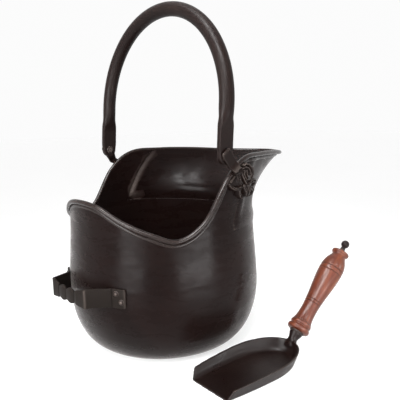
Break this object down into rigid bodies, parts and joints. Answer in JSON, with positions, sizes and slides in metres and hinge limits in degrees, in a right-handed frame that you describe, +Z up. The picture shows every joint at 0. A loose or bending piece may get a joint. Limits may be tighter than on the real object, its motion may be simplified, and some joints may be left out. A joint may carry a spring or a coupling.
{
  "type": "coal scuttle",
  "caption": "Helmet-shaped sheet-steel coal bucket with a flared pouring lip, swinging bail, crimped rear lifting handle and a wood-handled hand shovel.",
  "frame": {"origin": "middle of the bottom plate, on the floor", "axes": "+X forward to the pouring lip, +Z up, +Y to the scuttle's left; XZ is the bucket's plane of symmetry"},
  "size_m": [0.4268, 0.3838, 0.5072],
  "materials": {
    "black_steel": "satin",
    "cast_iron": "satin",
    "shovel_iron": "satin",
    "turned_wood": "satin"
  },
  "bodies": {
    "bucket": {"body_shell": "black_steel", "spout_sheet": "black_steel", "base_plate": "black_steel", "rim_wire": "black_steel", "ear_right": "cast_iron", "ear_left": "cast_iron", "bail_pin_right": "cast_iron", "bail_pin_left": "cast_iron", "rear_handle": "black_steel", "rear_handle_rivets": "cast_iron"},
    "bail": {"bail": "black_steel"},
    "shovel": {"shovel_pan": "shovel_iron", "shovel_tang": "shovel_iron", "shovel_ferrule": "shovel_iron", "shovel_grip": "turned_wood", "shovel_washer": "shovel_iron", "shovel_finial": "shovel_iron"}
  },
  "joints": [
    {"name": "bail_swing", "type": "hinge", "parent": "bucket", "child": "bail", "pos_m": [-0.0025, 0, 0.288], "axis": [0, 1, 0], "range_deg": [-132, 70]},
    {"name": "shovel_lift", "type": "slide", "parent": "bucket", "child": "shovel", "axis": [0, -0.6, 0.8], "range_m": [0, 0.25]}
  ]
}
